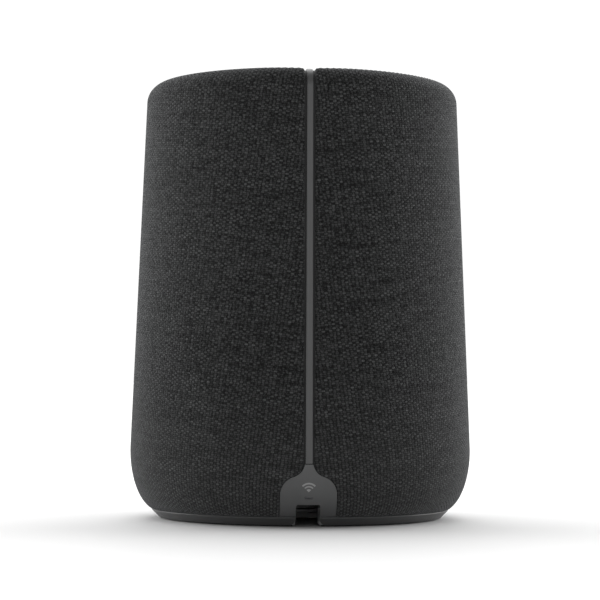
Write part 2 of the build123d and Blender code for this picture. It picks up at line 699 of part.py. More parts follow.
def wire(points, radius):
    """A round lead with its corners rounded to a bend that the lead can take."""
    runs = [math.dist(a, b) for a, b in zip(points, points[1:])]
    radii = []
    for i in range(1, len(points) - 1):
        a = Vector(points[i]) - Vector(points[i - 1])
        b = Vector(points[i + 1]) - Vector(points[i])
        turn_by = math.radians(a.get_angle(b))
        radii.append(0.45 * min(runs[i - 1], runs[i]) / math.tan(turn_by / 2))
    path = FilletPolyline(*points, radius=radii)
    start = Plane(origin=path @ 0, z_dir=path % 0)
    return sweep(start * Circle(radius), path=path)


def mains_leads():
    """From the inlet's tabs up to the supply board, in front of the plug pocket."""
    leads = []
    for x, end in ((-PIN_X, -9.0), (PIN_X, -2.0)):
        path = [(x, -6.02, INLET_Z), (x, -14, INLET_Z), (x - 6, -24, 9.5), (end - 8, -38, 12)]
        path += [(end - 8, -41, 19), (end - 8, -37, 24), (end - 8, -31.2, 23)]
        leads.append(wire(path, 0.9))
    return group(leads)


def driver_leads():
    """From each driver back to the sealed exit in the cabinet's rear wall, and up to the main board."""
    leads = []
    for x in (-4.5, 4.5):
        path = [(x, -21.15, 120.5), (x, -8, 124), (x * 1.6, 10, 112), (x * 1.2, 24, 88), (x * 0.5, 34, 69)]
        leads.append(wire(path + driver_lead_exit(x * 0.3, 59.0), 0.75))
    for x in (-3.0, 3.0):
        path = [(x, -36.9, 151), (x * 1.5, -22, 149), (x * 2.6, 2, 140), (x * 3.6, 22, 122)]
        path += [(x * 3.4, 36, 98), (x * 1.6, 38, 76)]
        leads.append(wire(path + driver_lead_exit(x * 0.35, 61.2), 0.75))
    return group(leads)


def driver_lead_exit(x, z):
    """The last points of a lead: through the wall, then up behind it to the connector's underside."""
    out = 1.2 * (z - LEAD_EXIT[0])
    behind = [(x, 43, z), (x * 2, 51, z - 2.0)]
    return behind + [(x * 3.5, 55.2 - out, z - 1.0 + out), (x * 3.5, 55.2 - out, 63.98)]


def supply_leads():
    """Low-voltage pair from the supply board up to the main board."""
    leads = []
    for x in (17.5, 22.5):
        path = [(x, 30.0, 30.0), (x, 37.0, 33.5), (x, 50.0, 35.0), (x, 57.0, 42.0)]
        path += [(x, 57.5, 54.0), (x, 55.2, 63.75)]
        leads.append(wire(path, 0.9))
    return group(leads)


def ribbon_cable():
    """Flat cable from the main board up to the control board."""
    outside = [(53.0, 143.4), (56.5, 149.0), (56.5, 168.0), (51.0, 174.95), (45.4, 174.95)]
    inside = [(45.4, 174.65), (50.8, 174.65), (56.2, 167.9), (56.2, 149.2), (52.75, 143.6)]
    return extrude(Plane.YZ * make_face(Polyline(*outside, *inside, close=True)), amount=6, both=True)


# ---------------------------------------------------------------- build
def build():
    whole = cabinet()
    woofer = {
        "woofer_gasket": woofer_gasket,
        "woofer_basket": woofer_basket,
        "woofer_screws": woofer_screws,
        "woofer_front_plate": woofer_front_plate,
        "woofer_magnet": woofer_magnet,
        "woofer_yoke": woofer_yoke,
        "woofer_cone": woofer_cone,
        "woofer_dust_cap": woofer_dust_cap,
        "woofer_voice_coil": woofer_voice_coil,
        "woofer_spider": woofer_spider,
        "woofer_surround": woofer_surround,
        "woofer_terminals": woofer_terminals,
    }
    tweeter = {
        "tweeter_faceplate": tweeter_faceplate,
        "tweeter_screws": tweeter_screws,
        "tweeter_dome": tweeter_dome,
        "tweeter_voice_coil": tweeter_voice_coil,
        "tweeter_surround": tweeter_surround,
        "tweeter_motor": tweeter_motor,
        "tweeter_housing": tweeter_housing,
    }
    plain = (
        fabric_cover, outer_shell, front_grille, rear_spine_strip, rear_panel, wifi_light_window,
        base_ring, bottom_plate, foot_ring, base_screws, power_inlet, inlet_pins, service_port, top_trim_ring,
        top_panel, light_pipes, control_board, key_switches, microphones, mic_gaskets, psu_board, transformer,
        psu_capacitors, supply_filter_parts, amplifier_heat_sink, main_board, board_screws, processor_shield,
        main_board_components, antennas, mains_leads, driver_leads, supply_leads, ribbon_cable,
    )
    nodes = {make.__name__: make() for make in plain}
    nodes |= {f"key_{place}": key(place) for place in KEY_AT}
    nodes |= {name: driver(make(), WOOFER_Z, BAFFLE_Y) for name, make in woofer.items()}
    nodes |= {name: driver(make(), TWEETER_Z, TWEETER_Y) for name, make in tweeter.items()}
    nodes |= {"cabinet_front": cabinet_front(whole), "cabinet_rear": cabinet_rear(whole)}
    nodes["cabinet_gasket"] = cabinet_gasket(whole)
    return nodes


os.makedirs("parts", exist_ok=True)
for name, shape in build().items():
    export_step(shape, f"parts/{name}.step")
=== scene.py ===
"""The looks of a cloth-covered smart speaker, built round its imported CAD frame. All lengths are in metres.

The cloth sleeve is one sheet, woven flat and wrapped round the tapered body from the front, so its threads
lean at the rear. The rings that flex with the drivers are copies that stretch. Every other CAD node keeps its
shape and takes the finish of its slot.
"""

import json
import math

import bpy
import numpy as np
from mathutils import Matrix, Vector
from mathutils.bvhtree import BVHTree


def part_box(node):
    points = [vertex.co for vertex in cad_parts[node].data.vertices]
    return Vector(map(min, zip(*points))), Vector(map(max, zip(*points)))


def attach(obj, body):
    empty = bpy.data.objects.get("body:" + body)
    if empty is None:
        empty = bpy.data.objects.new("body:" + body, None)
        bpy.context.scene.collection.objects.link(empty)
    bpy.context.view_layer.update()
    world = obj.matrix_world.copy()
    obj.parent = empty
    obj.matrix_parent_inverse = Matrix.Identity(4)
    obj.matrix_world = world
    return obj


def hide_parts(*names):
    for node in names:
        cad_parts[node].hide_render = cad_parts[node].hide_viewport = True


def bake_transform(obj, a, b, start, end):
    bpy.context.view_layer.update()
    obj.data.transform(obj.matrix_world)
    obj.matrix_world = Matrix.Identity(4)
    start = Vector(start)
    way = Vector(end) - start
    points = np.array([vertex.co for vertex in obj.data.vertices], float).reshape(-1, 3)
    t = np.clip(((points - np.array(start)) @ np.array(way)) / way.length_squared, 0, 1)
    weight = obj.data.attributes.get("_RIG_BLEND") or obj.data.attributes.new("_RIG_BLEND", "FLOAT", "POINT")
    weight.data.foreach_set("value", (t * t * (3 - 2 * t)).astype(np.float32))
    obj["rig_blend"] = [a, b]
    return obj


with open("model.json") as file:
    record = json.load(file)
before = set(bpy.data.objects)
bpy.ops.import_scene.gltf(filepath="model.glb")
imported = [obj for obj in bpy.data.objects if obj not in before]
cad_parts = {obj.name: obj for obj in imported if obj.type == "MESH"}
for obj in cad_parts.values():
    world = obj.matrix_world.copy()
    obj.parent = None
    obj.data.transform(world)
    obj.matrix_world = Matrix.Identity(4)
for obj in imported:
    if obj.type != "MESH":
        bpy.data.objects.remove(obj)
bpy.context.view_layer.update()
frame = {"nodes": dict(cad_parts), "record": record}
NODES = frame["nodes"]
MM = 0.001

# ---------------------------------------------------------------- body outline, as in the design
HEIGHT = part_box("fabric_cover")[1].z
CLOTH_FOOT = (64.15 * MM, 4.0 * MM)  # radius and height of the cloth's lower edge
TAPER = math.radians(2.35)
LOWER_ARCS = ((17.0, 53.2, 27.0), (33.0, 27.0, 14.0), (49.0, 14.0, -2.35))  # radius, lean from, lean to
RIM_R = 8.5 * MM
ROLL_R = 5.0 * MM
ROLL_END = math.radians(-160.0)
PANEL_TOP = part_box("rear_panel")[1].z
PANEL_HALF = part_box("rear_panel")[1].x
PANEL_SHOULDER = (18.85 * MM, 7.6 * MM)  # height of the shoulder's corner, and its round
PANEL_NECK = (2.65 * MM, 21.75 * MM, 6.3 * MM)  # half width and height of the neck's corner, and its round
PANEL_TIP = 1.72 * MM  # half width at the top of the neck

# ---------------------------------------------------------------- cloth
WARP = 1.50 * MM  # spacing of the threads round the body
WEFT = 0.847 * MM  # spacing of the threads up the body
BUMP = 0.11 * MM  # how far a crossing stands out or lies in
SLIT_HALF = 2.2 * MM
SLIT_FOOT = 23.4 * MM  # where the slit has run into the cut-out for the rear panel
EDGE_ROUND = 0.85 * MM  # round of the cloth's cut edges
EDGE_DEPTH = 1.15 * MM  # how far in the turned edges reach
CUT_GAP = 0.25 * MM  # between the cloth and the rear panel
FINE = 3  # cells per thread near the cut edges
HALF_GIRTH = math.pi * 74 * MM  # a little over half the body's largest girth
YARN_TONES = (0.0062, 0.0064, 0.0064, 1), (0.083, 0.085, 0.085, 1)  # of the darkest wool and the palest
GAP_SHADE_TONE = (0.0015, 0.0015, 0.0015, 1)  # painted shade between the yarns
# painted light: a pale tone mixed into the yarn towards the cloth's foot, standing for light on the lower rows
FOOT_LIGHT_TONE = (0.10, 0.10, 0.10, 1)
FOOT_LIGHT_SHARE = 0.2  # of the painted light's tone in the yarn, at the lower of the two heights; none at the upper
FOOT_LIGHT_HEIGHTS = (3 * MM, 60 * MM)

# ---------------------------------------------------------------- camera
CAMERA_AWAY = 0.9414  # from the body's axis
CAMERA_UP = 0.0612  # above the floor
CAMERA_ROUND = math.radians(2.9)  # round from straight behind
CAMERA_PITCH = 0.0348  # upward, in radians
CAMERA_ROLL = 0.0053  # in radians
LENS = 130.2  # focal length in millimetres
SHIFT_X = -0.0015
CLIP = (0.05, 20)

# ---------------------------------------------------------------- printed signs and plain finishes
INK_TONE = 0.27
INK_HALF = 0.03 * MM  # half the thickness of the ink
SIGN_LEAN = 0.6  # of the rear panel behind its sign, from upright
EDGE_COSINES = (0.995, 0.85)  # of the bend where an edge starts to pale, and where it is palest; the paling is partly wear and partly painted highlight
PLATE_PAINTED_LIGHT_TONE = 0.24  # painted light: the bottom plate is paler than the other mouldings, to stand for light reaching into the cord notch

# ---------------------------------------------------------------- studio
HORIZON = (1.05, 3.0)  # brightness of the sky near the horizon, on the far side and low on the near side
SKY_LOW, SKY_HIGH = 0.3, 3.4  # and above it, on the near side and over the far side
SKY_AXIS = (0, -0.9, 0.44)
PAINTED_SHADOW_FLOOR_TONES = (0.68, 0.88)  # painted shadow: the floor's tone round the speaker, and its plain tone out where only the sky lights it
PAINTED_SHADOW_FADE = (0.12, 0.55)  # distances from the middle between which the painted shadow fades into the plain floor
BAND = (0.05, 0.13, 0.30)  # sines of height: the low band begins to fade, has gone, and the full sky is reached
SOFTBOX = 5.4
SOFTBOX_AT = (0.85, -0.25, 0.3)  # and mirrored
SOFTBOX_SIZE = (0.5, 0.6)


# ================================================================ shapes
def profile_table(steps=60):
    """Samples of the cloth's side profile, bottom to top: arclength, radius, height and outward normal."""
    rows, at = [], CLOTH_FOOT

    def add_arc(centre, radius, low, high):
        for a in np.linspace(low, high, steps):
            normal = (math.cos(a), -math.sin(a))
            rows.append((centre[0] + radius * normal[0], centre[1] + radius * normal[1], *normal))
        return rows[-1][:2]

    for radius, low, high in LOWER_ARCS:
        radius, low, high = radius * MM, math.radians(low), math.radians(high)
        at = add_arc((at[0] - radius * math.cos(low), at[1] + radius * math.sin(low)), radius, low, high)
    cone_from = len(rows) - 1
    rim_z = HEIGHT - RIM_R
    top_z = rim_z + RIM_R * math.sin(TAPER)
    rim_r = at[0] - (top_z - at[1]) * math.tan(TAPER) - RIM_R * math.cos(TAPER)
    add_arc((rim_r, rim_z), RIM_R, -TAPER, -math.pi / 2)
    add_arc((rim_r, HEIGHT - ROLL_R), ROLL_R, -math.pi / 2, ROLL_END)
    rows = np.array(rows)
    along = np.concatenate([[0], np.cumsum(np.hypot(*np.diff(rows[:, :2], axis=0).T))])
    return along, rows, along[cone_from]


ALONG, PROFILE, CONE_FROM = profile_table()
LENGTH = ALONG[-1]


def profile(t):
    """Radius, height and the normal's two parts at arclengths t."""
    return [np.interp(t, ALONG, PROFILE[:, k]) for k in range(4)]


def on_body(t, phi, inset=0.0):
    """Points at arclength t and azimuth phi, counted from the front, that far inside the cloth's surface."""
    r, z, nr, nz = profile(t)
    r, z = r - nr * inset, z - nz * inset
    return np.stack([r * np.sin(phi), -r * np.cos(phi), z], axis=-1)


CONE = math.sin(TAPER)
APEX_AWAY = float(profile(CONE_FROM)[0]) / CONE  # slant distance from the cone's apex to the cone's foot


def wrap(x, y):
    """Where a point of the flat cloth lies on the body, as (arclength, azimuth from the front)."""
    away = np.hypot(x, APEX_AWAY - y)
    return CONE_FROM + APEX_AWAY - away, np.arctan2(x, APEX_AWAY - y) / CONE


def cutout_outline():
    """The rear panel's opening in the cloth on the side +x, as (x, z), from its side up to its neck."""
    half = PANEL_HALF + CUT_GAP
    shoulder_z, shoulder_r = PANEL_SHOULDER
    neck_x, neck_z, neck_r = PANEL_NECK
    corner, neck = (half, shoulder_z), (neck_x + CUT_GAP, neck_z + CUT_GAP)
    top = (PANEL_TIP + CUT_GAP, PANEL_TOP)
    points = [(half, -10 * MM)]
    points += fillet_points((half, 0.0), corner, neck, shoulder_r)
    points += fillet_points(corner, neck, top, neck_r - CUT_GAP)
    return np.array(points + [(top[0], PANEL_TOP + CUT_GAP), (0.0, PANEL_TOP + CUT_GAP)])


def fillet_points(before, corner, after, radius, count=12):
    """Points of the arc of that radius that rounds a corner."""
    corner = Vector(corner)
    a, b = (Vector(before) - corner).normalized(), (Vector(after) - corner).normalized()
    half = a.angle(b) / 2
    centre = corner + (a + b).normalized() * (radius / math.sin(half))
    start, end = corner + a * (radius / math.tan(half)), corner + b * (radius / math.tan(half))
    a0, a1 = (math.atan2(*(p - centre).yx) for p in (start, end))
    turn = (a1 - a0 + math.pi) % (2 * math.pi) - math.pi
    angles = [a0 + turn * i / count for i in range(count + 1)]
    return [(centre.x + radius * math.cos(a), centre.y + radius * math.sin(a)) for a in angles]


def signed_distance(x, z, outline):
    """Distance to an open outline that starts below and ends on the centre line: negative inside it."""
    best, inside = np.full(len(x), 1.0), np.zeros(len(x), bool)
    for (ax, az), (bx, bz) in zip(outline, outline[1:]):
        dx, dz = bx - ax, bz - az
        t = np.clip(((x - ax) * dx + (z - az) * dz) / (dx * dx + dz * dz), 0, 1)
        best = np.minimum(best, np.hypot(x - ax - t * dx, z - az - t * dz))
        crosses = (az > z) != (bz > z)
        inside ^= crosses & (x < ax + (z - az) / (dz if dz else 1.0) * dx)
    return np.where(inside, -best, best)


def cloth_field(x, y):
    """How far a point of the flat cloth lies from the nearest cut edge: negative where there is no cloth."""
    t, phi = wrap(x, y)
    r, z, _, _ = profile(t)
    beside = r * (math.pi - np.abs(phi))
    field = np.minimum(t, LENGTH - t)
    field = np.minimum(field, np.where(z > SLIT_FOOT, beside - SLIT_HALF, 1.0))
    near = (beside < 0.03) & (z < PANEL_TOP + 0.01) & (np.abs(phi) < math.pi + 0.5)
    cut = signed_distance((r * np.sin(math.pi - np.abs(phi)))[near], z[near], cutout_outline())
    cut = np.where(beside[near] < 0, -0.01, cut)
    field[near] = np.minimum(field[near], cut)
    return field


def cloth_cells(columns, rows):
    """Cells of the flat cloth as (points, faces, hem edges), fine and clipped along the cut edges."""
    i, j = (g.ravel() for g in np.meshgrid(np.arange(*columns), np.arange(*rows)))
    value = cloth_field(*[(g + 0.5) * pitch for g, pitch in ((i, WARP), (j, WEFT))])
    margin = 1.3 * math.hypot(WARP, WEFT)
    builder = CellBuilder()
    for a, b in zip(i[value > margin], j[value > margin]):
        builder.add_face([(a + da) * FINE, (b + db) * FINE] for da, db in ((0, 0), (1, 0), (1, 1), (0, 1)))
    near = np.abs(value) <= margin
    inside = [(da, db) for da in range(FINE) for db in range(FINE)]
    fine = [(a * FINE + da, b * FINE + db) for a, b in zip(i[near], j[near]) for da, db in inside]
    builder.add_clipped(np.array(fine))
    return np.array(builder.points), builder.faces, builder.hem


class CellBuilder:
    """Collects faces whose corners are counted in fine cells of the thread grid."""

    def __init__(self):
        self.index, self.points, self.faces, self.hem = {}, [], [], []

    def vertex(self, key, place):
        if key not in self.index:
            self.index[key] = len(self.points)
            self.points.append(place)
        return self.index[key]

    def add_face(self, corners):
        self.faces.append([self.vertex((a, b), (a * WARP / FINE, b * WEFT / FINE)) for a, b in corners])

    def add_clipped(self, cells):
        corners = cells[:, None, :] + np.array([(0, 0), (1, 0), (1, 1), (0, 1)])
        flat = corners.reshape(-1, 2) * np.array([WARP, WEFT]) / FINE
        value = cloth_field(flat[:, 0], flat[:, 1]).reshape(-1, 4)
        for corner, depth in zip(corners.tolist(), value):
            if (depth > 0).all():
                self.add_face(corner)
            elif (depth > 0).any():
                self.add_cut_face([tuple(c) for c in corner], depth)

    def add_cut_face(self, corner, depth):
        face, cut = [], []
        for n in range(4):
            a, b, da, db = corner[n], corner[(n + 1) % 4], depth[n], depth[(n + 1) % 4]
            if da > 0:
                face.append(self.vertex(a, (a[0] * WARP / FINE, a[1] * WEFT / FINE)))
            if (da > 0) != (db > 0):
                (p, q), share = (a, b), da / (da - db)
                x, y = p[0] + (q[0] - p[0]) * share, p[1] + (q[1] - p[1]) * share
                face.append(self.vertex((min(a, b), max(a, b)), (x * WARP / FINE, y * WEFT / FINE)))
                cut.append(face[-1])
        self.faces.append(face)
        if len(cut) == 2:
            follows = face[(face.index(cut[0]) + 1) % len(face)] == cut[1]
            self.hem.append(tuple(cut if follows else cut[::-1]))


def new_piece(name, points, faces, body, material, smooth=True):
    """A mesh object that rides on a body and takes the given material."""
    mesh = bpy.data.meshes.new(name)
    mesh.from_pydata([tuple(p) for p in points], [], faces)
    mesh.validate()
    mesh.polygons.foreach_set("use_smooth", [smooth] * len(mesh.polygons))
    piece = bpy.data.objects.new(name, mesh)
    bpy.context.scene.collection.objects.link(piece)
    mesh.materials.append(material)
    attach(piece, body)
    return piece


def cloth_sleeve():
    """The sleeve, with a vertex at each crossing of its threads, its cut edges turned in to the shell."""
    across = round(HALF_GIRTH / WARP)
    lowest = -math.ceil((CONE_FROM + 4 * MM + APEX_AWAY * (1 - math.cos(math.pi * CONE))) / WEFT)
    flat, faces, rim = cloth_cells((-across, across), (lowest, round((LENGTH - CONE_FROM) / WEFT) + 4))
    edge = np.maximum(cloth_field(flat[:, 0], flat[:, 1]), 0)
    t, phi = wrap(flat[:, 0], flat[:, 1])
    inner = np.clip(1 - edge / EDGE_ROUND, 0, 1)
    depth = EDGE_ROUND * (1 - np.sqrt(1 - inner**2))
    crossing = np.cos(math.pi * flat[:, 0] / WARP) * np.cos(math.pi * flat[:, 1] / WEFT)
    depth = depth - BUMP * crossing * np.clip(edge / EDGE_ROUND, 0, 1)
    points = on_body(t, phi, depth)
    weave = np.stack([flat[:, 0] / WARP, flat[:, 1] / WEFT, np.zeros(len(flat))], axis=1)
    hem = sorted({i for pair in rim for i in pair})
    below = {i: len(points) + n for n, i in enumerate(hem)}
    points = np.concatenate([points, on_body(t[hem], phi[hem], EDGE_DEPTH)])
    weave = np.concatenate([weave, weave[hem]])
    faces += [[b, a, below[a], below[b]] for a, b in rim]
    piece = new_piece("cloth_sleeve", points, faces, "root", cloth_material())
    attribute = piece.data.attributes.new("weave", "FLOAT_VECTOR", "POINT")
    attribute.data.foreach_set("vector", weave.astype(np.float32).ravel())
    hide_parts("fabric_cover")


# ================================================================ printed marks
def ray_onto(node):
    """A function that drops a point onto a CAD node along a direction and returns where it lands."""
    mesh = NODES[node].data
    tree = BVHTree.FromPolygons([v.co for v in mesh.vertices], [tuple(p.vertices) for p in mesh.polygons])

    def land(origin, direction):
        place = tree.ray_cast(Vector(origin), Vector(direction))[0]
        if place is None:
            raise ValueError(f"a mark misses {node}")
        return place

    return land


def ring_sector(centre, inner, outer, start, end, steps=20):
    """Strip of quads between two radii, from one angle to another, in degrees from upright."""
    rows = []
    for i in range(steps + 1):
        a = math.radians(start + (end - start) * i / steps)
        rows.append([(centre[0] + r * math.sin(a), centre[1] + r * math.cos(a)) for r in (inner, outer)])
    return rows


def bar(a, b, width, steps=8):
    """Strip of quads along a straight stroke."""
    a, b = Vector(a), Vector(b)
    side = (b - a).orthogonal().normalized() * width / 2
    middles = [a.lerp(b, i / steps) for i in range(steps + 1)]
    return [[tuple(middle - side), tuple(middle + side)] for middle in middles]


def printed_mark(name, strips, land, lift, body, material):
    """Ink of a printed sign: closed strips that lie on the surface where land() puts them."""
    points, faces = [], []
    for strip in strips:
        base = len(points)
        for pair in strip:
            for x, y in pair:
                place = land(x, y)
                points += [place + lift * INK_HALF, place - lift * INK_HALF]
        for i in range(len(strip) - 1):
            a = base + 4 * i
            faces += [(a, a + 4, a + 6, a + 2), (a + 1, a + 3, a + 7, a + 5)]
            faces += [(a, a + 1, a + 5, a + 4), (a + 2, a + 6, a + 7, a + 3)]
        end = base + 4 * (len(strip) - 1)
        faces += [(base, base + 2, base + 3, base + 1), (end, end + 1, end + 3, end + 2)]
    return new_piece(name, points, faces, body, material, smooth=False)


def wireless_mark(material):
    """Fan of two arcs over a wedge, printed on the rear panel above the light window."""
    drop = ray_onto("rear_panel")
    foot = (0.0, 14.55 * MM)
    strips = [
        ring_sector(foot, 3.15 * MM, 3.8 * MM, -47, 47),
        ring_sector(foot, 1.95 * MM, 2.5 * MM, -47, 47),
        ring_sector(foot, 0.02 * MM, 1.25 * MM, -47, 47, steps=10),
    ]
    lift = Vector((0, math.cos(SIGN_LEAN), -math.sin(SIGN_LEAN)))

    def land(x, z):
        return drop((x, 0.09, z), (0, -1, 0))

    mark = printed_mark("wireless_mark", strips, land, lift, "root", material)


def key_marks(material):
    """Generic signs printed on the four keys."""
    size, line = 4.2 * MM, 0.55 * MM
    half = size / 2
    minus = bar((-half, 0), (half, 0), line)
    signs = {
        "volume_down": [minus],
        "volume_up": [minus, bar((0, line / 2), (0, half), line), bar((0, -half), (0, -line / 2), line)],
        "play_pause": [bar((x, -half), (x, half), 0.8 * MM) for x in (-0.9 * MM, 0.9 * MM)],
        "mic_mute": microphone_strips(half, line),
    }
    for place, strips in signs.items():
        node = f"key_{place}"
        low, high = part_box(node)
        centre, drop = (low + high) / 2, ray_onto(node)
        printed_mark(
            f"mark_{place}", strips, lambda x, y: drop((centre.x + x, centre.y + y, 0.2), (0, 0, -1)),
            Vector((0, 0, 1)), f"{node}_body", material,
        )


def microphone_strips(half, line):
    """Capsule in a cradle on a stem, with a slash beside it."""
    cradle = ring_sector((0, 0.35 * MM), 1.25 * MM, 1.25 * MM + line * 0.8, 100, 260)
    capsule = bar((0, 0.1 * MM), (0, half), 1.3 * MM)
    stem = bar((0, -half), (0, -1.4 * MM), line * 0.8)
    slash = bar((1.9 * MM, -half), (3.0 * MM, half), line * 0.8)
    return [cradle, capsule, stem, slash]


# ================================================================ finishes
class Shader:
    """A node material under construction."""

    def __init__(self, name, **constants):
        self.material = bpy.data.materials.new(name)
        self.material.use_nodes = True
        self.tree = self.material.node_tree
        self.bsdf = self.tree.nodes["Principled BSDF"]
        for socket, value in constants.items():
            self.bsdf.inputs[socket.replace("_", " ")].default_value = value

    def node(self, kind, inputs=(), out=0, **settings):
        made = self.tree.nodes.new("ShaderNode" + kind)
        for key, value in settings.items():
            setattr(made, key, value)
        for key, value in dict(inputs).items():
            self.put(made.inputs[key], value)
        return made.outputs[out]

    def put(self, socket, value):
        if isinstance(value, bpy.types.NodeSocket):
            self.tree.links.new(value, socket)
        else:
            socket.default_value = value

    def math(self, operation, *values, clamp=False):
        return self.node("Math", enumerate(values), operation=operation, use_clamp=clamp)

    def where(self):
        return self.node("TexCoord", out="Object")

    def scaled(self, x, y, z):
        return self.node("Mapping", {"Vector": self.where(), "Scale": (x, y, z)})

    def noise(self, size, detail=2.0, rough=0.5, vector=None):
        """Noise whose blobs are about that size across, in metres; 0 to 1."""
        inputs = {"Vector": vector or self.where(), "Scale": 1 / size, "Detail": detail}
        return self.node("TexNoise", {**inputs, "Roughness": rough})

    def range(self, value, low, high, to_low, to_high):
        inputs = {"Value": value, 1: low, 2: high, 3: to_low, 4: to_high}
        return self.node("MapRange", inputs, clamp=True)

    def vary(self, base, source, amount, clamp=False):
        """A base, moved by that amount times how far a source of 0 to 1 lies from its middle."""
        return self.math("MULTIPLY_ADD", self.math("SUBTRACT", source, 0.5), amount, base, clamp=clamp)

    def mix(self, share, a, b):
        return self.node("Mix", {0: share, 6: a, 7: b}, out=2, data_type="RGBA")

    def edges(self, radius):
        """1 along outer edges, fading to 0 on the flats."""
        round_normal = self.node("Bevel", {"Radius": radius}, samples=4)
        true_normal = self.node("NewGeometry", out="Normal")
        normals = {0: round_normal, 1: true_normal}
        straight = self.node("VectorMath", normals, out="Value", operation="DOT_PRODUCT")
        return self.range(straight, *EDGE_COSINES, 0.0, 1.0)

    def bump(self, height, distance, strength=1.0, normal=None):
        inputs = {"Height": height, "Distance": distance, "Strength": strength}
        if normal:
            inputs["Normal"] = normal
        return self.node("Bump", inputs)

    def finish(self, **sockets):
        for socket, value in sockets.items():
            self.put(self.bsdf.inputs[socket.replace("_", " ")], value)
        return self.material


def grey(value, tint=0.0):
    """A grey with less red and more blue in it, by the share tint."""
    return (value * (1 - tint), value, value * (1 + tint), 1.0)


def cloth_material():
    """Melange plain weave: dark yarns flecked with lighter wool, rounded over each crossing, with painted shade
    between the yarns and painted light towards the foot.
    """
    s = Shader("cloth", Sheen_Weight=0.14, Sheen_Roughness=0.35, Specular_IOR_Level=0.12)
    s.bsdf.inputs["Sheen Tint"].default_value = (0.9, 0.92, 0.95, 1.0)
    place = s.node("Attribute", attribute_name="weave", out="Vector")
    u, v = s.node("SeparateXYZ", {0: place}, out="X"), s.node("SeparateXYZ", {0: place}, out="Y")
    column, row = s.math("ROUND", u), s.math("ROUND", v)
    across = s.math("COSINE", s.math("MULTIPLY", s.math("SUBTRACT", u, column), math.pi))
    up = s.math("COSINE", s.math("MULTIPLY", s.math("SUBTRACT", v, row), math.pi))
    warp_over = s.math("PINGPONG", s.math("ADD", column, row), 1.0)
    wide, tall = s.range(warp_over, 0, 1, 0.55, 1.6), s.range(warp_over, 0, 1, 0.9, 0.6)
    dome = s.math("MULTIPLY", s.math("POWER", across, wide), s.math("POWER", up, tall))
    cell = s.node("CombineXYZ", {0: column, 1: row})
    fleck = s.node("TexWhiteNoise", {"Vector": cell}, noise_dimensions="3D")
    weft_streak = s.node("CombineXYZ", {0: s.math("MULTIPLY", u, 0.05), 1: s.math("MULTIPLY", row, 5.3)})
    warp_place = {0: s.math("MULTIPLY", column, 5.3), 1: s.math("MULTIPLY", v, 0.09), 2: 7.0}
    warp_streak = s.node("CombineXYZ", warp_place)
    weft_tone = s.node("TexNoise", {"Vector": weft_streak, "Scale": 1.0, "Detail": 2.0})
    warp_tone = s.node("TexNoise", {"Vector": warp_streak, "Scale": 1.0, "Detail": 2.0})
    fibre = s.noise(0.42 * MM, detail=3.0, rough=0.65)
    slub = s.noise(1.0 * MM, detail=2.0)
    cloud = s.noise(12 * MM, detail=3.0)
    weft = s.vary(0.40, weft_tone, 1.1)
    weft = s.vary(weft, fleck, 0.4)
    warp = s.vary(0.21, warp_tone, 0.25)
    warp = s.vary(warp, fleck, 0.25)
    tone = s.node("Mix", {0: warp_over, 2: weft, 3: warp}, data_type="FLOAT")
    tone = s.vary(tone, fibre, 1.6)
    tone = s.vary(tone, slub, 1.3)
    tone = s.vary(tone, cloud, 0.1, clamp=True)
    yarn = s.mix(tone, *YARN_TONES)
    # painted light: the yarn is paled towards the cloth's foot
    foot_light = s.range(s.node("SeparateXYZ", {0: s.where()}, out="Z"), *FOOT_LIGHT_HEIGHTS, FOOT_LIGHT_SHARE, 0.0)
    yarn = s.mix(foot_light, yarn, FOOT_LIGHT_TONE)
    # painted shade: the low ground between crossings is darkened towards the gap tone
    colour = s.mix(s.range(dome, 0.0, 0.6, 0.26, 1.0), GAP_SHADE_TONE, yarn)
    height = s.math("MULTIPLY_ADD", fibre, 0.35, s.math("MULTIPLY", dome, s.range(warp_over, 0, 1, 1.0, 0.6)))
    rough = s.range(fibre, 0.3, 0.7, 0.82, 1.0)
    return s.finish(Base_Color=colour, Roughness=rough, Normal=s.bump(height, 0.22 * MM, 0.9))


def plastic(name, tone, rough=0.45, grain=0.14, wear_and_highlight=1.25, tint=0.01, relief=0.012, gloss=0.5):
    """Moulded plastic with a fine spark-eroded grain, a little uneven gloss and paler edges, partly wear and
    partly painted highlight.
    """
    s = Shader(name, Specular_IOR_Level=gloss)
    grains = s.noise(grain * MM, detail=2.0)
    cloud = s.noise(9 * MM, detail=4.0)
    base = s.mix(s.range(cloud, 0.3, 0.7, 0, 1), grey(tone * 0.93, tint), grey(tone * 1.05, tint))
    base = s.mix(s.range(grains, 0.35, 0.65, 0.0, 0.18), base, grey(tone * 1.5, tint))
    # paler edges: partly wear, partly a painted highlight along the bends
    colour = s.mix(s.edges(0.25 * MM), base, grey(tone * wear_and_highlight, tint))
    rough = s.vary(s.vary(rough, cloud, 0.22), grains, 0.1)
    normal = s.bump(grains, relief * MM, 0.8, s.node("Bevel", {"Radius": 0.12 * MM}, samples=4))
    return s.finish(Base_Color=colour, Roughness=rough, Normal=normal)


def rubber(name, tone):
    """Matte rubber with a powdery bloom and small pits."""
    s = Shader(name, Specular_IOR_Level=0.3)
    bloom, pits = s.noise(3 * MM, detail=5.0), s.noise(0.3 * MM, detail=2.0)
    colour = s.mix(s.range(bloom, 0.42, 0.7, 0, 0.6), grey(tone), grey(tone * 2.0))
    rough = s.range(bloom, 0.3, 0.7, 0.72, 0.92)
    return s.finish(Base_Color=colour, Roughness=rough, Normal=s.bump(pits, 0.03 * MM, 0.7))


def foam(name, tone):
    """Closed-cell foam: small bubbles with darker walls."""
    s = Shader(name, Specular_IOR_Level=0.15)
    cells = s.node("TexVoronoi", {"Vector": s.where(), "Scale": 2200.0})
    colour = s.mix(s.range(cells, 0.1, 0.7, 0, 1), grey(tone * 0.5), grey(tone * 1.5))
    rough = s.range(cells, 0, 1, 0.85, 1.0)
    return s.finish(Base_Color=colour, Roughness=rough, Normal=s.bump(cells, 0.15 * MM, 0.8))


